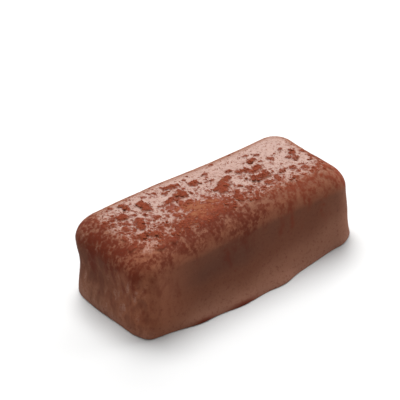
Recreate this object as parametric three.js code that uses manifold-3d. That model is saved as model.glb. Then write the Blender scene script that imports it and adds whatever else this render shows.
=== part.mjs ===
// A tiramisu praline: a bar of ganache enrobed in milk chocolate, its top dusted with cocoa that has gathered
// in clumps. It lies on its flat underside, with its length along X and its top facing +Z. The origin is the
// middle of its base.

import * as THREE from "three";
import { mergeVertices } from "three/addons/utils/BufferGeometryUtils.js";
import Module from "manifold-3d";

// Driving dimensions, in millimetres.
const LENGTH = 40; // between the two ends, above the foot
const WIDTH = 17.2; // between the two long flanks, above the foot
const HEIGHT = 12.4;
const CORNER_RADIUS = 3.5; // of the four upright corners
const SHOULDER_RADIUS = 3.5; // where the flanks roll over into the top

// How each flank departs from upright: its foot flares out at the base, the flank leans in on its way up,
// and a waist draws it in below mid-height. A negative waist is a belly.
const FLANKS = {
  left: { foot: -0.25, lean: 0.2, waist: 0.36 },
  right: { foot: 1.3, lean: 0.27, waist: -0.3 },
  front: { foot: 2.7, lean: 0.3, waist: 0 },
  back: { foot: 0.3, lean: 0.2, waist: 0.32 },
};
const FLARE_TOP = 0.8; // the share of the height at which the flare has died out
const WAIST = { height: 0.42, reach: 0.22 }; // shares of the height
const FRONT_FOOT = { lost: 1.2, power: 1.6 }; // the share of the front foot lost at its ends, and how fast
const BOW = 0.93; // how far the middle of the bar stands back from its ends

// The coating that has set as a soft lip along the front of the foot, in separate runs.
const LIP_ROWS = [
  { z: 0, share: 0.8 },
  { z: 0.25, share: 1 },
  { z: 0.6, share: 0.8 },
  { z: 1.1, share: 0.4 },
  { z: 1.7, share: 0.1 },
  { z: 2.4, share: 0 },
];
const LIPS = [
  { x: -18.9, out: 0.85, reach: 1.2 },
  { x: -10.8, out: 0.55, reach: 2.9 },
  { x: -4, out: 0.47, reach: 3.1 },
  { x: 4.2, out: 0.5, reach: 2.25 },
  { x: 17.9, out: 0.34, reach: 2 },
];

// The top is lifted or lowered at its corners, and sags along its back edge and at its right end.
const CORNER_REACH = 5;
const CORNER_LIFTS = [
  { u: -1, v: 1, lift: 0.2 },
  { u: 1, v: 1, lift: 0.35 },
  { u: 1, v: -1, lift: -0.14 },
];
const BACK_SAG = { u: 0.26, reachU: 0.45, v: 1, reachV: 0.8, depth: 0.68 };
const END_SAG = { u: 1, reachU: 0.25, v: 0.1, reachV: 0.5, depth: 0.14 };
// The coating bulges at the left end: under the shoulder at its back corner, and at its foot.
const BULGES = [
  { u: -1, reachU: 0.35, v: 1, reachV: 0.6, rise: 0.75, reachRise: 0.2, out: 0.32 },
  { u: -1, reachU: 0.28, v: 0.21, reachV: 0.44, rise: 0.12, reachRise: 0.2, out: 0.32 },
];

// How finely the surface is divided.
const END_STEPS = 4; // along half of an end
const CORNER_STEPS = 5;
const SIDE_STEPS = 24;
const FLANK_ROWS = 6;
const SHOULDER_ROWS = 6;
const TOP_ROWS = 5;
const MIDDLE_GAP = 0.3; // the half-width of the strip that closes the top along its middle

// Cocoa clumps. Each big one is a run of lumps from one place on the top to another, and the rest are
// scattered by rule.
const BIG_CLUMPS = [
  { from: [-10.9, 3.0], to: [-10.9, 4.5], width: 1.4, height: 0.3 },
  { from: [-13.1, 4.7], to: [-13.3, 5.9], width: 1.0, height: 0.22 },
  { from: [-14.6, 3.4], to: [-15.1, 3.6], width: 1.5, height: 0.25 },
  { from: [-13.5, 1.6], to: [-14.2, -0.2], width: 1.1, height: 0.28 },
  { from: [-15.6, -1.8], to: [-13.6, -2.9], width: 1.3, height: 0.36 },
  { from: [-4.5, 3.4], to: [-5.2, 2.9], width: 1.7, height: 0.3 },
  { from: [-7.7, 2.5], to: [-6.4, 2.8], width: 1.0, height: 0.24 },
  { from: [-5.4, 5.6], to: [-3.7, 5.2], width: 1.0, height: 0.26 },
  { from: [-6.0, 0.5], to: [-5.3, 0.7], width: 1.1, height: 0.24 },
  { from: [-1.8, 4.0], to: [-1.2, 4.3], width: 1.2, height: 0.25 },
  { from: [0.5, 0.3], to: [1.6, 0.9], width: 1.8, height: 0.34 },
  { from: [2.3, 1.8], to: [3.1, 2.2], width: 1.0, height: 0.24 },
  { from: [6.0, 2.2], to: [6.9, 1.5], width: 1.5, height: 0.3 },
  { from: [7.5, 1.1], to: [8.6, 1.4], width: 1.3, height: 0.28 },
  { from: [5.8, -0.6], to: [7.6, -0.9], width: 1.4, height: 0.42 },
  { from: [8.6, 3.3], to: [9.2, 3.6], width: 1.0, height: 0.26 },
  { from: [0.7, -3.3], to: [1.2, -3.0], width: 1.4, height: 0.25 },
  { from: [14.7, 1.2], to: [15.1, 1.4], width: 1.0, height: 0.26 },
];
const LUMP_STEP = 0.6; // between the lumps of a run, as a share of its width
const UNEVEN = 0.15; // how far a lump's surface and width depart from their mean, as a share
const SMALL_CLUMPS = 110;
const SMALL_WIDTH = [0.45, 1.0]; // from the least to the greatest
const SMALL_STRETCH = 0.6; // how much longer than wide a small clump may be, as a share
const SMALL_HEIGHT = 0.38; // of a small clump's width
const SCATTER = { x: 18.6, y: 7.8 }; // half of the stretch of top that they fall on
const STEEPEST = 0.6; // cocoa slides off where the upward part of the surface's direction is less
const BARE_CORNER = { x: 16, y: 7.5, reach: 9 }; // the back right corner caught the least cocoa
const FIRST_DRAW = 20;
const FINEST = 0.004; // edges shorter than this, left where clumps meet the coating, are merged

const HALF_LENGTH = LENGTH / 2;
const HALF_WIDTH = WIDTH / 2;
const UP = new THREE.Vector3(0, 0, 1);

const bell = (t) => Math.exp(-t * t);
const sum = (list) => list.reduce((total, value) => total + value, 0);

// Repeatable draws between 0 and 1.
function draws(state) {
  return () => {
    state = (Math.imul(state, 1664525) + 1013904223) >>> 0;
    return state / 2 ** 32;
  };
}

// The front half of a ring round the bar, from the middle of the left end to the middle of the right end, as
// points with their outward directions. The ring lies inset from the flanks, and its corners tighten as it
// shrinks.
function frontHalf(inset) {
  const hx = HALF_LENGTH - inset;
  const hy = HALF_WIDTH - inset;
  const r = (CORNER_RADIUS * hy) / HALF_WIDTH;
  const points = [];
  const add = (x, y, nx, ny) => points.push({ x, y, nx, ny });
  for (let i = 0; i < END_STEPS; i++) add(-hx, (-(hy - r) * i) / END_STEPS, -1, 0);
  for (let i = 0; i < CORNER_STEPS; i++) {
    const turn = (Math.PI / 2) * (i / CORNER_STEPS);
    const [nx, ny] = [-Math.cos(turn), -Math.sin(turn)];
    add(-(hx - r) + r * nx, -(hy - r) + r * ny, nx, ny);
  }
  for (let i = 0; i < SIDE_STEPS; i++) add((hx - r) * (-1 + (2 * i) / SIDE_STEPS), -hy, 0, -1);
  for (let i = 0; i < CORNER_STEPS; i++) {
    const turn = (Math.PI / 2) * (i / CORNER_STEPS);
    const [nx, ny] = [Math.sin(turn), -Math.cos(turn)];
    add(hx - r + r * nx, -(hy - r) + r * ny, nx, ny);
  }
  for (let i = 0; i <= END_STEPS; i++) add(hx, -(hy - r) * (1 - i / END_STEPS), 1, 0);
  return points;
}

// The whole ring: the front half, and its mirror image at the back.
function ringAt(inset) {
  const front = frontHalf(inset);
  const back = front.slice(1, -1).reverse();
  return [...front, ...back.map(({ x, y, nx, ny }) => ({ x, y: -y, nx, ny: -ny }))];
}

// The rows of the section, from the base's edge over the shoulder to the middle of the top.
function sectionRows() {
  const rows = LIP_ROWS.map(({ z, share }) => ({ inset: 0, z, lip: share }));
  const foot = LIP_ROWS[LIP_ROWS.length - 1].z;
  const shoulder = HEIGHT - SHOULDER_RADIUS;
  for (let i = 1; i <= FLANK_ROWS; i++) {
    rows.push({ inset: 0, z: foot + ((shoulder - foot) * i) / FLANK_ROWS, lip: 0 });
  }
  for (let i = 1; i <= SHOULDER_ROWS; i++) {
    const turn = (Math.PI / 2) * (i / SHOULDER_ROWS);
    const inset = SHOULDER_RADIUS * (1 - Math.cos(turn));
    rows.push({ inset, z: shoulder + SHOULDER_RADIUS * Math.sin(turn), lip: 0 });
  }
  const flat = HALF_WIDTH - SHOULDER_RADIUS - MIDDLE_GAP;
  for (let i = 1; i <= TOP_ROWS; i++) {
    rows.push({ inset: SHOULDER_RADIUS + (flat * i) / TOP_ROWS, z: HEIGHT, lip: 0 });
  }
  return rows;
}

// How far the surface moves out from the plain rounded block at a place on a flank.
function outwardMove(point, u, v, row) {
  const rise = row.z / HEIGHT;
  const faces = {
    left: Math.max(-point.nx, 0) ** 2,
    right: Math.max(point.nx, 0) ** 2,
    front: Math.max(-point.ny, 0) ** 2,
    back: Math.max(point.ny, 0) ** 2,
  };
  const flare = Math.max(0, 1 - rise / FLARE_TOP) ** 2;
  const along = { front: 1 - FRONT_FOOT.lost * Math.abs(u) ** FRONT_FOOT.power };
  const waist = bell((rise - WAIST.height) / WAIST.reach);
  const moves = Object.entries(FLANKS).map(
    ([side, f]) => faces[side] * (f.foot * flare * (along[side] ?? 1) - f.lean * rise - f.waist * waist),
  );
  const lip = sum(LIPS.map((run) => run.out * bell((point.x - run.x) / run.reach)));
  const bulges = BULGES.map(
    (b) =>
      b.out * bell((rise - b.rise) / b.reachRise) * bell((u - b.u) / b.reachU) * bell((v - b.v) / b.reachV),
  );
  return sum(moves) + row.lip * faces.front * lip + sum(bulges);
}

// How far the top is lifted at a place, as its corners rise and its edges sag.
function topLift(u, v) {
  const corners = CORNER_LIFTS.map(({ u: cu, v: cv, lift }) => {
    const away = Math.hypot((u - cu) * HALF_LENGTH, (v - cv) * HALF_WIDTH);
    return lift * bell(away / CORNER_REACH);
  });
  const sags = [BACK_SAG, END_SAG].map(
    (s) => s.depth * bell((u - s.u) / s.reachU) * bell((v - s.v) / s.reachV),
  );
  return sum(corners) - sum(sags);
}

// One point of the coated bar's surface.
function surfacePoint(point, row) {
  const u = point.x / HALF_LENGTH;
  const v = point.y / HALF_WIDTH;
  const move = outwardMove(point, u, v, row) * (1 - row.inset / HALF_WIDTH);
  const x = point.x + point.nx * move;
  const bowed = BOW * (1 - (x / HALF_LENGTH) ** 2);
  const z = row.z + (row.z / HEIGHT) ** 3 * topLift(u, v);
  return [x, point.y + point.ny * move + bowed, z];
}

// The coated bar without cocoa, as a closed surface centred on its base.
function enrobedBar() {
  const rows = sectionRows();
  const rings = rows.map((row) => ringAt(row.inset).map((point) => surfacePoint(point, row)));
  const around = rings[0].length;
  const across = around / 2;
  const index = [];
  for (let k = 0; k + 1 < rows.length; k++) {
    for (let i = 0; i < around; i++) {
      const next = (i + 1) % around;
      const [a, b] = [k * around + i, k * around + next];
      index.push(a, b, b + around, a, b + around, a + around);
    }
  }
  // A strip of faces joins the front of a ring to its back, over the top and, turned over, under the base.
  const strip = (first, up) => {
    for (let i = 0; i < across; i++) {
      const [f0, f1] = [first + i, first + i + 1];
      const [b0, b1] = [first + ((around - i) % around), first + around - i - 1];
      for (const face of [[f0, f1, b1], [f0, b1, b0]]) {
        if (new Set(face).size === 3) index.push(...(up ? face : face.reverse()));
      }
    }
  };
  strip((rows.length - 1) * around, true);
  strip(0, false);
  const geometry = new THREE.BufferGeometry();
  geometry.setAttribute("position", new THREE.Float32BufferAttribute(rings.flat(2), 3));
  geometry.setIndex(index);
  geometry.computeBoundingBox();
  const middle = geometry.boundingBox.getCenter(new THREE.Vector3());
  return geometry.translate(-middle.x, -middle.y, 0);
}

// Where a ray from above meets the coating.
function spotOn(bar, x, y) {
  const ray = new THREE.Raycaster(new THREE.Vector3(x, y, 2 * HEIGHT), UP.clone().negate());
  return ray.intersectObject(bar)[0];
}

// A draw near 1, as far from it as lumps are uneven.
const nearOne = (draw) => 1 - UNEVEN + 2 * UNEVEN * draw();

// A lump of cocoa: an uneven flattened ball, half sunk in the coating.
function lump({ point, face }, length, width, height, heading, detail, draw) {
  const faceted = new THREE.IcosahedronGeometry(1, detail).deleteAttribute("normal").deleteAttribute("uv");
  const ball = mergeVertices(faceted);
  const position = ball.attributes.position;
  for (let i = 0; i < position.count; i++) {
    const swell = nearOne(draw);
    position.setXYZ(i, position.getX(i) * swell, position.getY(i) * swell, position.getZ(i) * swell);
  }
  ball.scale(length / 2, width / 2, height);
  ball.rotateZ(heading);
  ball.applyQuaternion(new THREE.Quaternion().setFromUnitVectors(UP, face.normal));
  return ball.translate(point.x, point.y, point.z);
}

// The lumps of one big clump, in a run from one place to another.
function bigClump(bar, { from, to, width, height }, draw) {
  const [dx, dy] = [to[0] - from[0], to[1] - from[1]];
  const run = Math.hypot(dx, dy);
  const count = Math.max(1, Math.round(run / (LUMP_STEP * width)));
  const length = run / count + width;
  return Array.from({ length: count }, (_, i) => {
    const t = (i + 0.5) / count;
    const spot = spotOn(bar, from[0] + dx * t, from[1] + dy * t);
    const size = width * nearOne(draw);
    return lump(spot, length, size, height, Math.atan2(dy, dx), 1, draw);
  });
}

// Small clumps fall anywhere on the top, and seldom where little cocoa landed.
function smallClumps(bar, draw) {
  const clumps = [];
  while (clumps.length < SMALL_CLUMPS) {
    const x = SCATTER.x * (2 * draw() - 1);
    const y = SCATTER.y * (2 * draw() - 1);
    const bare = bell(Math.hypot(x - BARE_CORNER.x, y - BARE_CORNER.y) / BARE_CORNER.reach);
    const spot = spotOn(bar, x, y);
    if (draw() < bare || !spot || spot.face.normal.z < STEEPEST) continue;
    const width = SMALL_WIDTH[0] + (SMALL_WIDTH[1] - SMALL_WIDTH[0]) * draw() ** 2;
    const length = width * (1 + SMALL_STRETCH * draw());
    clumps.push(lump(spot, length, width, SMALL_HEIGHT * width, Math.PI * draw(), 0, draw));
  }
  return clumps;
}

const wasm = await Module();
wasm.setup();

// A closed geometry as a manifold-3d solid.
function solid(geometry) {
  const vertProperties = new Float32Array(geometry.attributes.position.array);
  const triVerts = new Uint32Array(geometry.index.array);
  return new wasm.Manifold(new wasm.Mesh({ numProp: 3, vertProperties, triVerts }));
}

function dustedPraline() {
  const bar = enrobedBar();
  const draw = draws(FIRST_DRAW);
  const target = new THREE.Mesh(bar);
  const big = BIG_CLUMPS.flatMap((clump) => bigClump(target, clump, draw));
  const clumps = [...big, ...smallClumps(target, draw)];
  const fused = clumps.reduce((whole, clump) => whole.add(solid(clump)), solid(bar));
  const joined = fused.asOriginal().simplify(FINEST).getMesh();
  const geometry = new THREE.BufferGeometry();
  geometry.setAttribute("position", new THREE.BufferAttribute(joined.vertProperties, 3));
  geometry.setIndex(new THREE.BufferAttribute(joined.triVerts, 1));
  geometry.computeVertexNormals();
  const chocolate = new THREE.MeshStandardMaterial({ color: 0x7a4a39, roughness: 0.5, metalness: 0 });
  const mesh = new THREE.Mesh(geometry, chocolate);
  mesh.name = "praline";
  return mesh;
}

const group = new THREE.Group();
group.add(dustedPraline());

export default group;
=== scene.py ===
"""A tiramisu praline: a bar enrobed in milk chocolate, its top dusted with cocoa in clumps.

The coating is worked out from the same dimensions as the solid that it replaces, on a much
finer grid. Cocoa lies on it in three forms: stains in the coating's own colour and relief,
raised clumps, and loose crumbs and grains.
"""

import math

import bmesh
import bpy
import numpy as np
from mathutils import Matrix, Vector, noise


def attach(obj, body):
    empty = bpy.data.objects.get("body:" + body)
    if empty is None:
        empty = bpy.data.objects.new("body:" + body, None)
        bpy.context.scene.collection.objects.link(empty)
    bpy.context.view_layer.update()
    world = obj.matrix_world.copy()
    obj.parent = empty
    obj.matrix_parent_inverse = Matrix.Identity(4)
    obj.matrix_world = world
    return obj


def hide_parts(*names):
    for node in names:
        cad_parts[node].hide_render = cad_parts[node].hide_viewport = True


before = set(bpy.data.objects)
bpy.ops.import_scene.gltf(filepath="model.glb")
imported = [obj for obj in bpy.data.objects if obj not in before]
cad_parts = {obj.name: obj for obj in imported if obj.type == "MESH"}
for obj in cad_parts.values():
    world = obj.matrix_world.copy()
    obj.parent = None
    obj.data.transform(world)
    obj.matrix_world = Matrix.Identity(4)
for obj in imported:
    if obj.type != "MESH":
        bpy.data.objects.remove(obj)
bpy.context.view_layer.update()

MM = 0.001
# Keeps a division from being by zero.
TINY = 1e-9

# Driving dimensions of the bar, in millimetres, as in the solid.
LENGTH = 40.0
WIDTH = 17.2
HEIGHT = 12.4
CORNER_RADIUS = 3.5
SHOULDER_RADIUS = 3.5
HALF_LENGTH = LENGTH / 2
HALF_WIDTH = WIDTH / 2

# How each flank departs from upright: its foot flares out, it leans in on its way up, and a
# waist draws it in.
FLANKS = {
    "left": {"foot": -0.25, "lean": 0.2, "waist": 0.36},
    "right": {"foot": 1.3, "lean": 0.27, "waist": -0.3},
    "front": {"foot": 2.7, "lean": 0.3, "waist": 0.0},
    "back": {"foot": 0.3, "lean": 0.2, "waist": 0.32},
}
FLARE_TOP = 0.8
WAIST_HEIGHT = 0.42
WAIST_REACH = 0.22
FRONT_FOOT_LOST = 1.2
FRONT_FOOT_POWER = 1.6
BOW = 0.93

# The soft lip along the front of the foot, in runs of (x, out, reach), fullest at one height.
LIPS = ((-18.9, 0.85, 1.2), (-10.8, 0.55, 2.9), (-4.0, 0.47, 3.1), (4.2, 0.5, 2.25), (17.9, 0.34, 2.0))
LIP_HEIGHT = 0.25
LIP_REACH_BELOW = 0.53
LIP_REACH_ABOVE = 0.87

# Corners of the top as (u, v, lift), and sags as (u, reach, v, reach, depth), in shares of
# the half sizes. Both grow with a power of the height.
LIFT_POWER = 3
CORNER_REACH = 5.0
CORNER_LIFTS = ((-1, 1, 0.2), (1, 1, 0.35), (1, -1, -0.14))
SAGS = ((0.26, 0.45, 1.0, 0.8, 0.68), (1.0, 0.25, 0.1, 0.5, 0.14))
# Bulges in the coating as (u, reach, v, reach, share of the height, reach, out).
BULGES = ((-1, 0.35, 1, 0.6, 0.75, 0.2, 0.32), (-1, 0.28, 0.21, 0.44, 0.12, 0.2, 0.32))

# The fine grid: steps along half an end, a corner and a side, and rows up a flank, over the
# shoulder and the top.
END_STEPS = 38
CORNER_STEPS = 42
SIDE_STEPS = 250
FOOT_ROWS = 5
FLANK_ROWS = 34
SHOULDER_ROWS = 42
TOP_ROWS = 37
FOOT_ROUND = 0.2
MIDDLE_GAP = 0.15


def bell(t):
    """A smooth bump, 1 at 0 and almost 0 beyond 2."""
    return np.exp(-t * t)


def smooth(value, low, high):
    """A smooth step from 0 at the low value to 1 at the high one."""
    t = np.clip((value - low) / (high - low), 0.0, 1.0)
    return t * t * (3 - 2 * t)


def ring(inset):
    """A ring round the bar, inset from its flanks: x, y and the outward direction of each point."""
    hx = HALF_LENGTH - inset
    hy = HALF_WIDTH - inset
    r = CORNER_RADIUS * hy / HALF_WIDTH
    end = np.linspace(0, 1, END_STEPS, endpoint=False)
    turn = np.linspace(0, math.pi / 2, CORNER_STEPS, endpoint=False)
    side = np.linspace(-1, 1, SIDE_STEPS, endpoint=False)
    last = np.linspace(1, 0, END_STEPS + 1)
    cos, sin = np.cos(turn), np.sin(turn)
    x = [0 * end - hx, r - hx - r * cos, (hx - r) * side, hx - r + r * sin, 0 * last + hx]
    y = [(r - hy) * end, r - hy - r * sin, 0 * side - hy, r - hy - r * cos, (r - hy) * last]
    nx = [0 * end - 1, -cos, 0 * side, sin, 0 * last + 1]
    ny = [0 * end, -sin, 0 * side - 1, -cos, 0 * last]
    front = np.stack([np.concatenate(part) for part in (x, y, nx, ny)])
    back = front[:, -2:0:-1] * np.array([[1], [-1], [1], [-1]])
    return np.concatenate([front, back], axis=1)


def section_rows():
    """Inset and height of each row, from the base's edge over the shoulder to the middle of the top."""
    shoulder = HEIGHT - SHOULDER_RADIUS
    turn = np.linspace(0, math.pi / 2, SHOULDER_ROWS + 1)[1:]
    flat = np.linspace(SHOULDER_RADIUS, HALF_WIDTH - MIDDLE_GAP, TOP_ROWS + 1)[1:]
    foot = FOOT_ROUND * (1 - np.cos(np.linspace(0, math.pi / 2, FOOT_ROWS + 1)))
    flank = np.linspace(FOOT_ROUND, shoulder, FLANK_ROWS + 1)[1:]
    inset = [0 * foot, 0 * flank, SHOULDER_RADIUS * (1 - np.cos(turn)), flat]
    height = [foot, flank, shoulder + SHOULDER_RADIUS * np.sin(turn), 0 * flat + HEIGHT]
    return np.concatenate(inset), np.concatenate(height)


def outward_move(x, nx, ny, u, v, z):
    """How far the surface moves out from a plain rounded block."""
    rise = z / HEIGHT
    faces = {
        "left": np.maximum(-nx, 0) ** 2,
        "right": np.maximum(nx, 0) ** 2,
        "front": np.maximum(-ny, 0) ** 2,
        "back": np.maximum(ny, 0) ** 2,
    }
    flare = np.maximum(0, 1 - rise / FLARE_TOP) ** 2
    waist = bell((rise - WAIST_HEIGHT) / WAIST_REACH)
    along = {"front": 1 - FRONT_FOOT_LOST * np.abs(u) ** FRONT_FOOT_POWER}
    move = 0
    for side, f in FLANKS.items():
        shift = f["foot"] * flare * along.get(side, 1) - f["lean"] * rise - f["waist"] * waist
        move = move + faces[side] * shift
    reach = np.where(z < LIP_HEIGHT, LIP_REACH_BELOW, LIP_REACH_ABOVE)
    lip = sum(out * bell((x - at) / wide) for at, out, wide in LIPS)
    move = move + faces["front"] * lip * bell((z - LIP_HEIGHT) / reach)
    for at_u, reach_u, at_v, reach_v, at_rise, reach_rise, out in BULGES:
        place = bell((u - at_u) / reach_u) * bell((v - at_v) / reach_v)
        move = move + out * place * bell((rise - at_rise) / reach_rise)
    return move


def top_lift(u, v):
    """How far the top is lifted, as its corners rise and its edges sag."""
    lift = 0
    for at_u, at_v, high in CORNER_LIFTS:
        away = np.hypot((u - at_u) * HALF_LENGTH, (v - at_v) * HALF_WIDTH)
        lift = lift + high * bell(away / CORNER_REACH)
    for at_u, reach_u, at_v, reach_v, depth in SAGS:
        lift = lift - depth * bell((u - at_u) / reach_u) * bell((v - at_v) / reach_v)
    return lift


def coating_grid():
    """The coated bar's surface as a grid of points, rows by columns, centred on its base."""
    insets, heights = section_rows()
    rings = np.stack([ring(inset) for inset in insets])
    x, y, nx, ny = rings[:, 0], rings[:, 1], rings[:, 2], rings[:, 3]
    z = np.repeat(heights[:, None], x.shape[1], axis=1)
    u, v = x / HALF_LENGTH, y / HALF_WIDTH
    move = outward_move(x, nx, ny, u, v, z) * (1 - insets[:, None] / HALF_WIDTH)
    px = x + nx * move
    py = y + ny * move + BOW * (1 - (px / HALF_LENGTH) ** 2)
    pz = z + (z / HEIGHT) ** LIFT_POWER * top_lift(u, v)
    middle_x = (px.min() + px.max()) / 2
    middle_y = (py.min() + py.max()) / 2
    under = np.maximum(0, 1 - z / FOOT_ROUND)
    tuck = FOOT_ROUND * (1 - np.sqrt(1 - under**2))
    return np.stack([px - middle_x - nx * tuck, py - middle_y - ny * tuck, pz], axis=2)


def grid_normals(grid):
    """The outward direction at each point of the grid, and the area that each point stands for."""
    across = np.roll(grid, -1, axis=1) - np.roll(grid, 1, axis=1)
    up = np.gradient(grid, axis=0)
    cross = np.cross(across, up)
    size = np.linalg.norm(cross, axis=2)
    return cross / np.maximum(size, TINY)[:, :, None], size / 2


def grid_faces(rows, columns):
    """Quads between rings, and the strips that close the top and the base along their middles."""
    index = np.arange(rows * columns).reshape(rows, columns)
    beside = np.roll(index, -1, axis=1)
    quads = np.stack([index[:-1], beside[:-1], beside[1:], index[1:]], axis=2).reshape(-1, 4)
    faces = quads.tolist()
    half = columns // 2
    for row, up in ((rows - 1, True), (0, False)):
        first = row * columns
        for i in range(half):
            a, b = first + i, first + i + 1
            c, d = first + columns - i - 1, first + (columns - i) % columns
            face = [a, b, c, d] if i > 0 else [a, b, c]
            face = list(dict.fromkeys(face))
            faces.append(face if up else face[::-1])
    return faces


# Clumps of cocoa, each gathered in a run from one place on the top to another, as in the solid:
# (x, y, x, y, width, height).
CLUMPS = (
    (-10.9, 3.0, -10.9, 4.5, 1.4, 0.3),
    (-13.1, 4.7, -13.3, 5.9, 1.0, 0.22),
    (-14.6, 3.4, -15.1, 3.6, 1.5, 0.25),
    (-13.5, 1.6, -14.2, -0.2, 1.1, 0.28),
    (-15.6, -1.8, -13.6, -2.9, 1.3, 0.36),
    (-4.5, 3.4, -5.2, 2.9, 1.7, 0.3),
    (-7.7, 2.5, -6.4, 2.8, 1.0, 0.24),
    (-5.4, 5.6, -3.7, 5.2, 1.0, 0.26),
    (-6.0, 0.5, -5.3, 0.7, 1.1, 0.24),
    (-1.8, 4.0, -1.2, 4.3, 1.2, 0.25),
    (0.5, 0.3, 1.6, 0.9, 1.8, 0.34),
    (2.3, 1.8, 3.1, 2.2, 1.0, 0.24),
    (6.0, 2.2, 6.9, 1.5, 1.5, 0.3),
    (7.5, 1.1, 8.6, 1.4, 1.3, 0.28),
    (5.8, -0.6, 7.6, -0.9, 1.4, 0.42),
    (8.6, 3.3, 9.2, 3.6, 1.0, 0.26),
    (0.7, -3.3, 1.2, -3.0, 1.4, 0.25),
    (14.7, 1.2, 15.1, 1.4, 1.0, 0.26),
)

# Stains too thin to be in the solid, as (x, y, x, y, width).
STAINS = (
    (-8.7, 2.1, -8.1, 2.3, 0.8),
    (-6.6, 4.6, -6.2, 4.6, 0.8),
    (1.4, 5.2, 1.6, 5.2, 0.8),
    (11.3, 2.0, 11.5, 2.0, 0.9),
    (10.4, 1.1, 10.5, 1.1, 0.8),
    (14.1, -0.3, 14.8, -0.3, 0.8),
    (14.1, 3.0, 14.3, 3.2, 0.6),
    (4.5, 3.6, 4.7, 3.6, 0.7),
    (9.0, 5.2, 9.3, 5.2, 0.6),
    (10.5, 4.1, 10.7, 4.1, 0.7),
    (3.7, -2.0, 3.9, -2.0, 1.0),
    (6.6, -2.7, 6.8, -2.7, 1.1),
    (8.3, -3.0, 8.5, -3.0, 1.2),
    (10.3, -1.8, 10.5, -1.8, 0.9),
    (11.9, -2.0, 12.2, -2.3, 0.9),
    (13.2, -2.9, 13.6, -2.9, 0.9),
    (13.6, 0.6, 13.8, 0.6, 0.8),
    (16.5, -5.0, 16.8, -5.0, 0.9),
    (3.9, 6.8, 4.1, 6.8, 0.7),
    (0.8, 3.1, 1.0, 3.1, 0.8),
    (-15.0, 6.2, -14.8, 6.2, 0.8),
    (-12.2, 2.1, -12.0, 2.1, 0.7),
    (-16.4, 0.7, -16.4, 1.1, 1.1),
    (-18.3, -3.1, -18.3, -2.8, 1.0),
    (-17.8, -0.7, -17.7, -0.4, 0.9),
    (-15.2, -5.3, -14.9, -5.2, 0.9),
    (-12.9, -5.2, -12.6, -5.2, 0.9),
)

# Points above this height can lie under a clump or a stain. Others count as far away.
CLUMPS_ABOVE = 8.0
FAR = 9.0
# How far the edges of clumps and stains wander, and where their cover and relief run out, as
# shares of half their width. A clump is a dome, and its reach is given squared.
RAGGEDNESS = 0.8
CLUMP_EDGE = (0.5, 1.4)
DOME_REACH_SQUARED = 1.2
STAIN_EDGE = (0.4, 1.25)
STAIN_RELIEF_EDGE = (0.5, 1.1)
# How high thin cocoa stands in millimetres, how much of that is left over the shoulder, and how
# many times as high a stain stands. A stain's cover in its middle.
THIN_HEIGHT = 0.12
SHOULDER_RELIEF = 0.2
STAIN_RELIEF = 1.5
STAIN_COVER = 0.85
# The height of cocoa is uneven: a fixed part, and a part that follows crumbly noise.
CLUMP_ROUGH = (0.85, 0.4)
THIN_ROUGH = (0.8, 0.5)

# Cocoa stays on what faces up and lies high: ranges of the upward share of the outward
# direction, and of the height. Noise shifts both. The left end, away from its front, catches
# more, over ranges of -x and y.
LANDING_SLOPE = (-0.1, 0.7)
LANDING_HEIGHT = (5.8, 10.0)
LANDING_UNEVEN = (0.6, 2.5)
LEFT_CATCHES = 0.6
LEFT_CATCHES_X = (13.0, 19.0)
LEFT_CATCHES_Y = (-7.0, -2.5)

# Ranges of places over which something sets in, in millimetres. They count -x, -y or -z where
# it lies to the left, towards the front or low down.
FRONT_EDGE_Y = (3.5, 6.5)
RIGHT_END_X = (14.5, 19.0)
RIGHT_END_Y = (-5.0, 2.0)
LEFT_END_X = (16.5, 19.5)
HAZE_Y = (1.0, 5.5)
SMEAR_X = (12.0, 19.5)
SMEAR_Y = (-6.0, 6.0)
SMEAR_Z = (-1.5, 6.0)
FOOT_SHADE_Z = (-0.9, -0.3)
# The same for the noise of the smears, and for shares of the outward direction, to the front
# and up.
SMEAR_EDGE = (-0.1, 0.7)
FOOT_SHADE_FRONT = (0.4, 0.8)
TOP_SLOPE = (0.85, 0.99)

# How thickly cocoa dust lies at most, and how it falls off with x and y towards the back right.
DUST = 1.0
DUST_LESS = (0.08, 0.25, 0.4)
# Places on the top, as (x, reach, y, reach): a bank of thick cocoa, the heap of dry powder in
# it, and a place near the front left corner that is almost bare.
BANK = (-6.2, 5.2, -2.9, 2.3)
HEAP = (-5.4, 4.2, -1.5, 2.5)
BARE = (-16.4, 2.6, -5.0, 1.9)
BANK_DEPTH = 2.3
END_DEPTH = 1.2
RIGHT_END_SHARE = 0.6
LEFT_END_SHARE = 0.9
# How much less dust lies in the bare place, and how much less has gathered at the end there.
BARE_DUST = 0.9
BARE_END = 0.8
# The heap's share of powder, and how it follows the broad, medium and small noise.
HEAP_SHARE = 0.8
HEAP_NOISE = (0.7, 1.0, 0.9)

# The veil of fine dust: how it grows from the back to the front, its density, and how it
# follows the broad, medium and small noise.
HAZE = (0.2, 0.9)
VEIL_DENSITY = 0.7
VEIL_NOISE = (1.2, 2.2, 1.8)
# How much thinner the veil and the spots are at the front edge.
FRONT_VEIL = 0.15
FRONT_SPOTS = 0.2
# How much smears on the left end, and painted shade in cocoa colour under the lip of the foot, cover at
# most.
SMEAR_COVER = 0.6
FOOT_SHADE_COVER = 0.9
# Places under the lip of the foot where shade is painted in cocoa colour, as (x, reach).
FOOT_SHADES = ((-11.0, 2.0), (-4.2, 2.6))

# Round spots of cocoa: their reach, how their share grows with the dust and follows broad noise,
# how far they are nudged out of round, and their soft edge.
SPOT_REACH = 0.64
LEAST_SHARE = 0.0001
SPOT_SHARE = 1.35
SPOT_POWER = 0.42
SPOT_SHARE_MOST = 1.1
SPOT_BROAD = 0.4
SPOT_NUDGE = 0.2
SPOT_EDGE = (0.4, 1.25)
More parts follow.
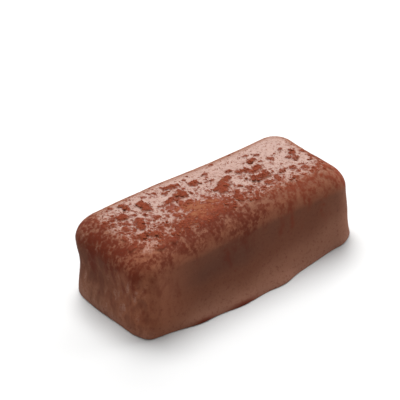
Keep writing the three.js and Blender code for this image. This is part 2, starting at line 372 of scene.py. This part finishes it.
# Two sizes of spots, as (size, shift, part of the share, strength).
LARGE_SPOTS = (0.85, 17.0, 0.75, 0.9)
LITTLE_SPOTS = (0.44, 31.0, 0.88, 0.85)

# Layers of noise, as (size of a feature in millimetres, shift, octaves).
BROAD = (2.4, 7.0, 2)
MEDIUM = (0.85, 13.0, 2)
SMALL = (0.34, 29.0, 2)
CRUMBLY = (0.3, 57.0, 3)
RAGGED = (0.8, 71.0, 3)
UNEVEN = (2.2, 47.0, 3)
RUNS = (0.9, 95.0, 4)
STREAKS = (1.0, 83.0, 4)
SWELLING = (4.5, 43.0, 2)
# How fast the finer octaves fade, and how many times finer each one is.
OCTAVE_FALL = 1.0
OCTAVE_STEP = 2.0
# How layers are drawn out downwards, where they are.
SLIGHTLY_DOWN = (1.0, 1.0, 0.5)
DOWN = (1.0, 1.0, 0.45)
FAR_DOWN = (1.0, 1.0, 0.3)
# How far the coating swells and sinks, in millimetres, and the heights over which that sets in.
SWELL = 0.05
SWELL_Z = (0.3, 1.2)


def noise_at(points, size, shift, octaves):
    """Smooth noise, about -1 to 1, at points in millimetres, with features of one size."""
    values = np.empty(len(points))
    places = points / size + shift
    for i, place in enumerate(places.tolist()):
        values[i] = noise.fractal(place, OCTAVE_FALL, OCTAVE_STEP, octaves)
    return values


def spots_at(points, size, shift, share):
    """Round spots, 1 in the middle of each. A high share makes them more and larger."""
    away = np.empty(len(points))
    luck = np.empty(len(points))
    places = points / size + shift
    for i, place in enumerate(places.tolist()):
        distances, centres = noise.voronoi(place)
        away[i] = distances[0]
        luck[i] = 0.5 + 0.5 * noise.cell(centres[0])
    reach = SPOT_REACH * np.sqrt(np.maximum(share - luck, LEAST_SHARE))
    return 1 - smooth(away / reach, *SPOT_EDGE)


def landing(points, normals):
    """How much of what falls from above stays on, from 1 to 0 on the way over the shoulder."""
    x, y, z = points.T
    uneven = noise_at(points * FAR_DOWN, *UNEVEN)
    caught = LEFT_CATCHES * smooth(-x, *LEFT_CATCHES_X) * smooth(y, *LEFT_CATCHES_Y)
    uneven = uneven + caught
    by_slope = smooth(normals[:, 2] + LANDING_UNEVEN[0] * uneven, *LANDING_SLOPE)
    by_height = smooth(z + LANDING_UNEVEN[1] * uneven, *LANDING_HEIGHT)
    return by_slope * by_height


def from_run(points, run):
    """How far points lie from a run on the top, as a share of half its width."""
    start, end, width = np.array(run[0:2]), np.array(run[2:4]), run[4]
    along = end - start
    offset = points[:, :2] - start
    share = np.clip(offset @ along / along.dot(along), 0, 1)
    away = np.linalg.norm(offset - share[:, None] * along, axis=1) / (width / 2)
    return np.where(points[:, 2] > CLUMPS_ABOVE, away, FAR)


def patch(points, place):
    """1 in the middle of a place on the top, and less and less around it."""
    at_x, reach_x, at_y, reach_y = place
    return bell((points[:, 0] - at_x) / reach_x) * bell((points[:, 1] - at_y) / reach_y)


def lay_cocoa(points, normals):
    """The cocoa at each point: its cover, with painted shade under the foot's lip, its share of dry
    powder, and its height.

    The last of the four values says how much of what falls on a point stays on.
    """
    x, y, z = points.T
    ny, nz = normals[:, 1], normals[:, 2]
    stays = landing(points, normals)
    bank = patch(points, BANK)
    heap = patch(points, HEAP)
    bare = patch(points, BARE)
    broad = noise_at(points, *BROAD)
    medium = noise_at(points * SLIGHTLY_DOWN, *MEDIUM)
    small = noise_at(points * SLIGHTLY_DOWN, *SMALL)
    crumbly = noise_at(points, *CRUMBLY)
    ragged = noise_at(points, *RAGGED)
    front = smooth(-y, *FRONT_EDGE_Y)
    depth = DUST / (1 + np.exp(DUST_LESS[0] * x + DUST_LESS[1] * y + DUST_LESS[2]))
    depth = depth * (1 - BARE_DUST * bare)
    right_end = RIGHT_END_SHARE * smooth(x, *RIGHT_END_X) * smooth(-y, *RIGHT_END_Y)
    ends = right_end + LEFT_END_SHARE * smooth(-x, *LEFT_END_X)
    thick = BANK_DEPTH * bank + END_DEPTH * ends * (1 - BARE_END * bare)
    # A veil of fine dust lies over the front of the top, and spots lie all over it.
    hazy = depth * (HAZE[0] + HAZE[1] * smooth(-y, *HAZE_Y)) + thick
    patchy = VEIL_NOISE[0] * broad + VEIL_NOISE[1] * medium + VEIL_NOISE[2] * small
    veil = 1 - np.exp(-VEIL_DENSITY * hazy * np.exp(patchy))
    share = np.minimum(SPOT_SHARE * (depth + thick) ** SPOT_POWER, SPOT_SHARE_MOST)
    share = share * (1 + SPOT_BROAD * broad)
    nudged = points + SPOT_NUDGE * np.stack([ragged, crumbly, small], axis=1)
    unspotted = 1
    for size, shift, part, strength in (LARGE_SPOTS, LITTLE_SPOTS):
        unspotted = unspotted * (1 - strength * spots_at(nudged, size, shift, part * share))
    spots = 1 - unspotted
    clear = (1 - veil * (1 - FRONT_VEIL * front)) * (1 - (1 - FRONT_SPOTS * front) * spots)
    cover = (1 - clear) * stays
    # On the left end cocoa has run down in smears.
    end = smooth(-x, *SMEAR_X) * smooth(-y, *SMEAR_Y)
    smears = smooth(noise_at(points * DOWN, *RUNS), *SMEAR_EDGE)
    cover = np.maximum(cover, SMEAR_COVER * end * smears * smooth(z, *SMEAR_Z))
    # Painted shade in cocoa colour lies in two places under the lip of the foot.
    for at, reach in FOOT_SHADES:
        place = bell((x - at) / reach) * smooth(-z, *FOOT_SHADE_Z)
        cover = np.maximum(cover, FOOT_SHADE_COVER * (place * smooth(-ny, *FOOT_SHADE_FRONT)))
    rough = THIN_ROUGH[0] + THIN_ROUGH[1] * crumbly
    relief = SHOULDER_RELIEF + (1 - SHOULDER_RELIEF) * smooth(nz, *TOP_SLOPE)
    height = THIN_HEIGHT * cover * rough * relief * stays
    for run in CLUMPS:
        away = from_run(points, run) + RAGGEDNESS * ragged
        cover = np.maximum(cover, 1 - smooth(away, *CLUMP_EDGE))
        dome = np.sqrt(np.clip(1 - away**2 / DOME_REACH_SQUARED, 0, 1))
        height = np.maximum(height, run[5] * dome * (CLUMP_ROUGH[0] + CLUMP_ROUGH[1] * crumbly))
    for run in STAINS:
        away = from_run(points, run) + RAGGEDNESS * ragged
        cover = np.maximum(cover, STAIN_COVER - STAIN_COVER * smooth(away, *STAIN_EDGE))
        relief = 1 - smooth(away, *STAIN_RELIEF_EDGE)
        height = np.maximum(height, STAIN_RELIEF * THIN_HEIGHT * relief)
    patchy = 1 + HEAP_NOISE[0] * broad + HEAP_NOISE[1] * medium + HEAP_NOISE[2] * small
    heaped = HEAP_SHARE * heap * patchy
    powder = np.clip(heaped, 0, 1) * stays
    return cover, powder, height, stays


def mesh_object(name, points, faces, smooth_faces=True):
    """A mesh object from points in millimetres."""
    mesh = bpy.data.meshes.new(name)
    mesh.from_pydata((points * MM).tolist(), [], faces)
    mesh.polygons.foreach_set("use_smooth", [smooth_faces] * len(mesh.polygons))
    mesh.update()
    made = bpy.data.objects.new(name, mesh)
    bpy.context.scene.collection.objects.link(made)
    return made


def point_values(made, name, values):
    """Keep one number for each point of an object's mesh, under a name that a material reads."""
    kept = made.data.attributes.new(name, "FLOAT", "POINT")
    kept.data.foreach_set("value", values.astype(np.float32))


# Where warm light is painted on the coating: ranges of -x and -y round the near corner, and a band along
# the front, by how far it points to the front and up, and by height.
CORNER_X = (9.0, 19.5)
CORNER_Y = (-3.0, 7.0)
BAND_SHARE = 0.8
BAND_FRONT = (0.2, 0.6)
BAND_UP = (0.05, 0.35)
BAND_UP_MOST = (-0.9, -0.6)
BAND_Z = (8.0, 9.6)
# Where bare coating is satin, and how much less so at the front, the left and in the bank.
SATIN_UP = (0.88, 0.99)
FRONT_Y = (2.0, 5.0)
LEFT_X = (14.0, 18.0)
SATIN_LESS = {"front": 0.4, "left": 0.4, "bank": 0.6}
# How much lighter cocoa is painted, as lit, on the flat top, and how much lighter it is in the bank, at
# the front right and on clumps.
COCOA_LIT_AND_LIGHTER = {"top": 0.35, "bank": -0.25, "right": 0.45, "clumps": 0.35}
RIGHT_X = (0.0, 10.0)
CLUMP_HEIGHTS = (0.14, 0.3)
# Where light is painted on the coating, as a paler colour: at the foot, over the shoulder and at the
# right end.
LIT_FOOT_Z = (-7.0, -0.5)
LIT_UP = (0.2, 1.0)
LIT_RIGHT_X = (9.0, 20.0)
LIT_RIGHT = 0.6
# How much painted shade darkens it along the front, and where, as (x, reach) and (z, reach).
PAINTED_SHADE = 0.7
SHADE_FRONT = (0.6, 0.95)
SHADE_X = (-6.0, 9.0)
SHADE_Z = (6.0, 3.5)
# The left end is streaked. The rim of the foot is painted paler, as lit from the floor, less so along
# the front.
STREAKED_LEFT = (0.35, 0.9)
RIM_Z = (-2.4, -0.2)
RIM_LESS = 0.6
RIM_FRONT = (0.8, 1.0)
# Loose crumbs and grains lie mostly on cocoa, with a few anywhere, on what faces up, and above
# one height.
LOOSE_ANYWHERE = 0.06
LOOSE_UP = (0.9, 0.98)
LOOSE_ABOVE = 10.0


def coating_tones(points, normals, height):
    """Numbers at each point that the coating's material turns into tones, painted light and shade, and
    gloss, by name.
    """
    x, y, z = points.T
    nx, ny, nz = normals.T
    # Warm light is painted round the near corner, and where the front turns over into the shoulder.
    corner = smooth(-x, *CORNER_X) * smooth(-y, *CORNER_Y)
    band = BAND_SHARE * smooth(-ny, *BAND_FRONT) * smooth(nz, *BAND_UP)
    band = band * smooth(-nz, *BAND_UP_MOST) * smooth(z, *BAND_Z)
    # Bare coating is satin on the top, less so at the front and the left, and in the bank.
    bank = patch(points, BANK)
    satin = smooth(nz, *SATIN_UP) * (1 - SATIN_LESS["front"] * smooth(-y, *FRONT_Y))
    satin = satin * (1 - SATIN_LESS["left"] * smooth(-x, *LEFT_X)) * (1 - SATIN_LESS["bank"] * bank)
    # Cocoa is painted lighter where the top is flat, as lit, and so darker in painted shade over the
    # shoulder. It is also darker in the bank, and lighter on the clumps and towards the right.
    light = COCOA_LIT_AND_LIGHTER["top"] * satin + COCOA_LIT_AND_LIGHTER["bank"] * bank
    light = light + COCOA_LIT_AND_LIGHTER["right"] * smooth(x, *RIGHT_X) * smooth(-y, *FRONT_Y)
    light = light + COCOA_LIT_AND_LIGHTER["clumps"] * smooth(height, *CLUMP_HEIGHTS)
    # Light is painted on the coating at the foot, over the shoulder and at the right end, and painted
    # shade darkens a band along the front.
    painted_light_and_shade = np.maximum(smooth(-z, *LIT_FOOT_Z), smooth(nz, *LIT_UP))
    painted_light_and_shade = painted_light_and_shade + LIT_RIGHT * smooth(x, *LIT_RIGHT_X)
    shade = PAINTED_SHADE * smooth(-ny, *SHADE_FRONT) * bell((x - SHADE_X[0]) / SHADE_X[1])
    painted_light_and_shade = painted_light_and_shade - shade * bell((z - SHADE_Z[0]) / SHADE_Z[1])
    streaks = noise_at(points * SLIGHTLY_DOWN, *STREAKS)
    # Most of these numbers hold painted light and shade; the streaks and the satin do not.
    return {
        "painted_light_and_shade": painted_light_and_shade,
        "streaks": smooth(-nx, *STREAKED_LEFT) * streaks,
        "warm_light": np.maximum(corner, band),
        "rim": smooth(-z, *RIM_Z) * (1 - RIM_LESS * smooth(-ny, *RIM_FRONT)),
        "satin": satin,
        "light": light,
    }


def make_coating(grid):
    """The coating, its points and normals, and how likely a loose grain is to lie at each point."""
    rows, columns = grid.shape[:2]
    normals, areas = grid_normals(grid)
    points = grid.reshape(-1, 3)
    normals = normals.reshape(-1, 3)
    areas = areas.reshape(-1)
    z, nz = points[:, 2], normals[:, 2]
    cover, powder, height, stays = lay_cocoa(points, normals)
    swell = noise_at(points, *SWELLING) * smooth(z, *SWELL_Z)
    surface = points + normals * (height + SWELL * swell)[:, None]
    surface[:, 2] = np.maximum(surface[:, 2], 0)
    coating = mesh_object("coating", surface, grid_faces(rows, columns))
    values = {"cocoa": cover, "powder": powder, "top": stays}
    values.update(coating_tones(points, normals, height))
    for name, numbers in values.items():
        point_values(coating, name, numbers)
    cocoa_weight = areas * (cover + LOOSE_ANYWHERE) * (1 - powder)
    cocoa_weight = cocoa_weight * smooth(nz, *LOOSE_UP) * (z > LOOSE_ABOVE)
    return coating, surface, normals, cocoa_weight


# Crumbs and grains of cocoa: how many, their sizes in millimetres, their height as a share of
# their width, and how finely each is faceted.
SEED = 20
CRUMBS = 380
CRUMB_SIZE = (0.16, 0.42)
CRUMB_HEIGHT = 0.4
CRUMB_ROUNDS = 2
GRAINS = 5000
GRAIN_SIZE = (0.06, 0.15)
GRAIN_HEIGHT = 0.7
GRAIN_ROUNDS = 1
UNEVENNESS = 0.25
MOST_UNEVEN = 1.5
STRETCH = 0.6


def ball(rounds):
    """A faceted ball of radius 1: its corners and triangles."""
    shape = bmesh.new()
    bmesh.ops.create_icosphere(shape, subdivisions=rounds, radius=1.0)
    corners = np.array([v.co[:] for v in shape.verts])
    faces = np.array([[v.index for v in f.verts] for f in shape.faces])
    shape.free()
    return corners, faces


def scatter(name, surface, normals, weight, count, sizes, height, rounds, draw):
    """Uneven lumps of cocoa, half sunk in the surface where it carries cocoa, as one mesh."""
    corners, faces = ball(rounds)
    spots = draw.choice(len(surface), count, p=weight / weight.sum())
    up = normals[spots]
    side = np.cross(up, draw.normal(size=(count, 3)))
    side = side / np.linalg.norm(side, axis=1)[:, None]
    ahead = np.cross(up, side)
    size = sizes[0] + (sizes[1] - sizes[0]) * draw.random(count) ** 2
    stretch = 1 + STRETCH * draw.random(count)
    uneven = draw.normal(size=(count, len(corners), 1)).clip(-MOST_UNEVEN, MOST_UNEVEN)
    lumps = corners[None] * (1 + UNEVENNESS * uneven) * (size / 2)[:, None, None]
    x = lumps[:, :, 0:1] * stretch[:, None, None] * side[:, None]
    y = lumps[:, :, 1:2] * ahead[:, None]
    z = lumps[:, :, 2:3] * height * up[:, None]
    points = surface[spots][:, None] + x + y + z
    offsets = (np.arange(count) * len(corners))[:, None, None]
    all_faces = (faces[None] + offsets).reshape(-1, 3)
    return mesh_object(name, points.reshape(-1, 3), all_faces.tolist())


def new_material(name):
    material = bpy.data.materials.new(name)
    material.use_nodes = True
    return material, material.node_tree, material.node_tree.nodes["Principled BSDF"]


def noise_texture(tree, coordinates, size, detail, roughness):
    """Noise around 0.5, with features of one size in millimetres."""
    node = tree.nodes.new("ShaderNodeTexNoise")
    node.inputs["Scale"].default_value = 1 / (size * MM)
    node.inputs["Detail"].default_value = detail
    node.inputs["Roughness"].default_value = roughness
    tree.links.new(coordinates, node.inputs["Vector"])
    return node.outputs["Fac"]


def attribute(tree, name):
    """The number that the mesh keeps at each point under a name."""
    node = tree.nodes.new("ShaderNodeAttribute")
    node.attribute_name = name
    return node.outputs["Fac"]


def maths(tree, operation, first, second, clamp=False):
    node = tree.nodes.new("ShaderNodeMath")
    node.operation = operation
    node.use_clamp = clamp
    for socket, value in zip(node.inputs, (first, second)):
        if isinstance(value, (int, float)):
            socket.default_value = value
        else:
            tree.links.new(value, socket)
    return node.outputs["Value"]


def remap(tree, value, low, high, to_low=0.0, to_high=1.0):
    """A smooth step from one number to another as the value goes from low to high."""
    node = tree.nodes.new("ShaderNodeMapRange")
    node.interpolation_type = "SMOOTHSTEP"
    tree.links.new(value, node.inputs["Value"])
    for name, number in (("From Min", low), ("From Max", high), ("To Min", to_low), ("To Max", to_high)):
        node.inputs[name].default_value = number
    return node.outputs["Result"]


def mix(tree, factor, first, second):
    """The first colour where the factor is 0, and the second where it is 1."""
    node = tree.nodes.new("ShaderNodeMix")
    node.data_type = "RGBA"
    tree.links.new(factor, node.inputs["Factor"])
    for socket, value in ((node.inputs["A"], first), (node.inputs["B"], second)):
        if isinstance(value, tuple):
            socket.default_value = (*value, 1.0)
        else:
            tree.links.new(value, socket)
    return node.outputs["Result"]


# Colours, as linear red, green and blue.
CHOCOLATE = (0.119, 0.041, 0.0215)
# Painted light on the chocolate.
CHOCOLATE_LIT = (0.19, 0.081, 0.049)
# Painted shade on the chocolate.
CHOCOLATE_SHADED = (0.073, 0.028, 0.0172)
# Warm painted light on the chocolate.
CHOCOLATE_WARM_LIGHT = (0.215, 0.074, 0.038)
STREAK = (0.065, 0.02, 0.012)
# Pale specks of bloom, and light from the floor painted on the foot's rim.
BLOOM_AND_RIM_LIGHT = (0.24, 0.12, 0.085)
COCOA = (0.136, 0.0245, 0.0092)
COCOA_DARK = (0.078, 0.0115, 0.004)
COCOA_DRY = (0.17, 0.058, 0.0265)

# Noise in the materials, as (size of a feature in millimetres, detail, roughness).
FINE = (0.18, 2.0, 0.6)
GRIT = (0.45, 3.0, 0.6)
CLOUDS = (5.0, 3.0, 0.5)
DUSTY = (0.12, 2.0, 0.6)
DUSTY_BROAD = (1.2, 2.0, 0.5)

# How much of each kind of noise is in the grain.
GRAIN_PARTS = (0.8, 0.5)
# Ranges of a value over which a colour sets in, with the shares at both ends where they
# aren't 0 and 1.
STAINED = (-0.16, 1.04)
HEAPED = (0.05, 0.6)
LIT_RANGE = (0.0, 1.0)
SHADE_RANGE = (0.0, -1.0)
STREAK_RANGE = (0.15, -0.6, 0.0, 0.4)
GRIT_RANGE = (0.02, 0.2, 0.0, 0.25)
SPECK_RANGE = (0.15, 0.9, 0.0, 0.7)
GRAIN_RANGE = (0.0, 0.3, 0.0, 0.5)
LIT_AND_LIGHTER_RANGE = (-0.15, 0.6)
DRIER_RANGE = (0.3, 1.1)
GRAINY_RANGE = (0.0, 0.25, 0.0, 0.6)
DUSTY_RANGE = (0.2, 0.5)
# How strongly clouds, warm painted light and the painted light on the rim show, and how grain breaks up
# specks.
CLOUDINESS = 0.7
WARM_LIGHT_STRENGTH = 0.95
RIM_PAINTED_LIGHT = 0.4
SPECK_GRAIN = 1.6

# Chocolate and cocoa are matt. Where the coating is bare, a satin coat lies over it.
COATING_ROUGHNESS = 0.85
COCOA_ROUGHNESS = 0.95
SPECULAR = 0.1
SATIN_ROUGHNESS = 0.4
# How deep the finest relief is, in millimetres.
GRIT_DEPTH = 0.03
GRIT_STRENGTH = 0.6
DUSTY_DEPTH = 0.02


def coating_material():
    material, tree, shader = new_material("milk-chocolate")
    place = tree.nodes.new("ShaderNodeTexCoord").outputs["Object"]
    cocoa = attribute(tree, "cocoa")
    powder = attribute(tree, "powder")
    top = attribute(tree, "top")
    streaks = attribute(tree, "streaks")
    warm_light = attribute(tree, "warm_light")
    rim = attribute(tree, "rim")
    painted_light_and_shade = attribute(tree, "painted_light_and_shade")
    satin = attribute(tree, "satin")
    light = attribute(tree, "light")
    fine = maths(tree, "SUBTRACT", noise_texture(tree, place, *FINE), 0.5)
    grit = maths(tree, "SUBTRACT", noise_texture(tree, place, *GRIT), 0.5)
    clouds = maths(tree, "SUBTRACT", noise_texture(tree, place, *CLOUDS), 0.5)
    # Fine noise breaks up the edges of the stains and of the powder.
    parts = [maths(tree, "MULTIPLY", part, share) for part, share in zip((fine, grit), GRAIN_PARTS)]
    grain = maths(tree, "ADD", *parts)
    broken = maths(tree, "ADD", cocoa, maths(tree, "MULTIPLY", grain, top))
    stained = remap(tree, broken, *STAINED)
    heaped = remap(tree, maths(tree, "ADD", powder, grit), *HEAPED)
    light_shade_and_clouds = maths(tree, "ADD", painted_light_and_shade, maths(tree, "MULTIPLY", clouds, CLOUDINESS))
    # The body goes from painted shade to painted light. Warm light is painted in places, and light from
    # the floor is painted at the foot's rim.
    body = mix(tree, remap(tree, light_shade_and_clouds, *LIT_RANGE), CHOCOLATE, CHOCOLATE_LIT)
    body = mix(tree, remap(tree, light_shade_and_clouds, *SHADE_RANGE), body, CHOCOLATE_SHADED)
    body = mix(tree, maths(tree, "MULTIPLY", warm_light, WARM_LIGHT_STRENGTH), body, CHOCOLATE_WARM_LIGHT)
    body = mix(tree, maths(tree, "MULTIPLY", rim, RIM_PAINTED_LIGHT), body, BLOOM_AND_RIM_LIGHT)
    # The left end is streaked dark, and pale specks of bloom lie between the streaks.
    body = mix(tree, remap(tree, streaks, *STREAK_RANGE), body, STREAK)
    body = mix(tree, remap(tree, grit, *GRIT_RANGE), body, STREAK)
    specks = maths(tree, "SUBTRACT", streaks, maths(tree, "MULTIPLY", grain, SPECK_GRAIN))
    body = mix(tree, remap(tree, specks, *SPECK_RANGE), body, BLOOM_AND_RIM_LIGHT)
    body = mix(tree, remap(tree, grain, *GRAIN_RANGE), body, STREAK)
    # Painted light lightens the cocoa on the flat top; over the shoulder it stays dark, as painted
    # shade.
    lit_and_lighter = remap(tree, maths(tree, "ADD", grain, light), *LIT_AND_LIGHTER_RANGE)
    settled = mix(tree, lit_and_lighter, COCOA_DARK, COCOA)
    drier = remap(tree, maths(tree, "ADD", powder, grain), *DRIER_RANGE)
    dry = mix(tree, drier, COCOA, COCOA_DRY)
    colour = mix(tree, stained, body, settled)
    colour = mix(tree, heaped, colour, dry)
    tree.links.new(colour, shader.inputs["Base Color"])
    shader.inputs["Roughness"].default_value = COATING_ROUGHNESS
    shader.inputs["Specular IOR Level"].default_value = SPECULAR
    # Bare coating on the top is satin; cocoa and the flanks are matt.
    covered = maths(tree, "MAXIMUM", stained, heaped)
    grainy = maths(tree, "ADD", covered, remap(tree, grain, *GRAINY_RANGE))
    bare = maths(tree, "SUBTRACT", satin, grainy, clamp=True)
    tree.links.new(bare, shader.inputs["Coat Weight"])
    shader.inputs["Coat Roughness"].default_value = SATIN_ROUGHNESS
    bump = tree.nodes.new("ShaderNodeBump")
    bump.inputs["Distance"].default_value = GRIT_DEPTH * MM
    bump.inputs["Strength"].default_value = GRIT_STRENGTH
    tree.links.new(grit, bump.inputs["Height"])
    tree.links.new(bump.outputs["Normal"], shader.inputs["Normal"])
    tree.links.new(bump.outputs["Normal"], shader.inputs["Coat Normal"])
    return material


def cocoa_material():
    material, tree, shader = new_material("cocoa")
    place = tree.nodes.new("ShaderNodeTexCoord").outputs["Object"]
    fine = noise_texture(tree, place, *DUSTY)
    tone = maths(tree, "MULTIPLY", fine, noise_texture(tree, place, *DUSTY_BROAD))
    colour = mix(tree, remap(tree, tone, *DUSTY_RANGE), COCOA, COCOA_DRY)
    tree.links.new(colour, shader.inputs["Base Color"])
    shader.inputs["Roughness"].default_value = COCOA_ROUGHNESS
    shader.inputs["Specular IOR Level"].default_value = SPECULAR
    bump = tree.nodes.new("ShaderNodeBump")
    bump.inputs["Distance"].default_value = DUSTY_DEPTH * MM
    tree.links.new(fine, bump.inputs["Height"])
    tree.links.new(bump.outputs["Normal"], shader.inputs["Normal"])
    return material


draw = np.random.default_rng(SEED)
coating, surface, normals, cocoa_weight = make_coating(coating_grid())
coating.data.materials.append(coating_material())
crumbs = scatter(
    "cocoa-crumbs",
    surface,
    normals,
    cocoa_weight**2,
    CRUMBS,
    CRUMB_SIZE,
    CRUMB_HEIGHT,
    CRUMB_ROUNDS,
    draw,
)
grains = scatter(
    "cocoa-grains",
    surface,
    normals,
    cocoa_weight,
    GRAINS,
    GRAIN_SIZE,
    GRAIN_HEIGHT,
    GRAIN_ROUNDS,
    draw,
)
cocoa = cocoa_material()
for piece in (crumbs, grains):
    piece.data.materials.append(cocoa)
for piece in (crumbs, grains, coating):
    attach(piece, "root")
    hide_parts("praline")

# The camera, fitted to the bar's outline in a frame of 400 by 400.
CAMERA_AZIMUTH = -40.17
CAMERA_ELEVATION = 33.08
CAMERA_DISTANCE = 236.55
LOOK_AT = (2.62, 7.59, 6.0)
LENS = 144.0
SENSOR = 36.0
CLIP_START = 0.01
CLIP_END = 10.0

# Plain studio light. Each light's azimuth, elevation, distance, width and height in metres,
# radiance and colour.
WHITE = (1.0, 1.0, 1.0)
LIGHTS = {
    "back_light": (140, 33, 0.5, 0.3, 0.26, 5.4, (1.0, 0.99, 0.97)),
    "top_light": (165, 71, 0.55, 0.36, 0.36, 14.2, WHITE),
    "right_light": (72, 9, 0.7, 0.3, 0.3, 17.0, WHITE),
    "left_light": (-78, 12, 0.7, 0.3, 0.3, 5.0, WHITE),
    "front_light": (-20, 45, 0.7, 0.4, 0.3, 1.1, WHITE),
}
SKY_STRENGTH = 0.12
FLOOR_GREY = 0.49
FLOOR_ROUGHNESS = 0.9
# Half a side of the floor, in millimetres.
FLOOR_REACH = 3000.0


def direction(azimuth, elevation):
    """A direction from angles in degrees: azimuth 0 is the front, and 90 the right end."""
    a, e = math.radians(azimuth), math.radians(elevation)
    return Vector((math.sin(a) * math.cos(e), -math.cos(a) * math.cos(e), math.sin(e)))


def make_camera():
    data = bpy.data.cameras.new("camera")
    data.lens = LENS
    data.sensor_width = SENSOR
    data.clip_start = CLIP_START
    data.clip_end = CLIP_END
    camera = bpy.data.objects.new("camera", data)
    back = direction(CAMERA_AZIMUTH, CAMERA_ELEVATION)
    camera.location = (Vector(LOOK_AT) + back * CAMERA_DISTANCE) * MM
    camera.rotation_mode = "QUATERNION"
    camera.rotation_quaternion = (-back).to_track_quat("-Z", "Y")
    bpy.context.scene.collection.objects.link(camera)
    bpy.context.scene.camera = camera


def softbox(name, azimuth, elevation, distance, width, height, radiance, colour):
    """A rectangular light of one brightness, facing the praline. Its sizes are in metres."""
    data = bpy.data.lights.new(name, "AREA")
    data.shape = "RECTANGLE"
    data.size = width
    data.size_y = height
    data.energy = radiance * math.pi * width * height
    data.color = colour
    light = bpy.data.objects.new(name, data)
    towards = direction(azimuth, elevation)
    light.location = towards * distance
    light.rotation_mode = "QUATERNION"
    light.rotation_quaternion = towards.to_track_quat("Z", "Y")
    light.visible_camera = False
    bpy.context.scene.collection.objects.link(light)


def make_world():
    world = bpy.data.worlds.new("studio")
    world.use_nodes = True
    bpy.context.scene.world = world
    background = world.node_tree.nodes["Background"]
    background.inputs["Color"].default_value = (*WHITE, 1.0)
    background.inputs["Strength"].default_value = SKY_STRENGTH


def make_floor():
    corners = FLOOR_REACH * np.array([[-1, -1, 0], [1, -1, 0], [1, 1, 0], [-1, 1, 0]])
    floor = mesh_object("floor", corners, [[0, 1, 2, 3]], False)
    material, _, shader = new_material("paper")
    shader.inputs["Base Color"].default_value = (FLOOR_GREY, FLOOR_GREY, FLOOR_GREY, 1.0)
    shader.inputs["Roughness"].default_value = FLOOR_ROUGHNESS
    floor.data.materials.append(material)


make_camera()
make_world()
make_floor()
for name, light in LIGHTS.items():
    softbox(name, *light)
bpy.context.scene.view_settings.view_transform = "Standard"
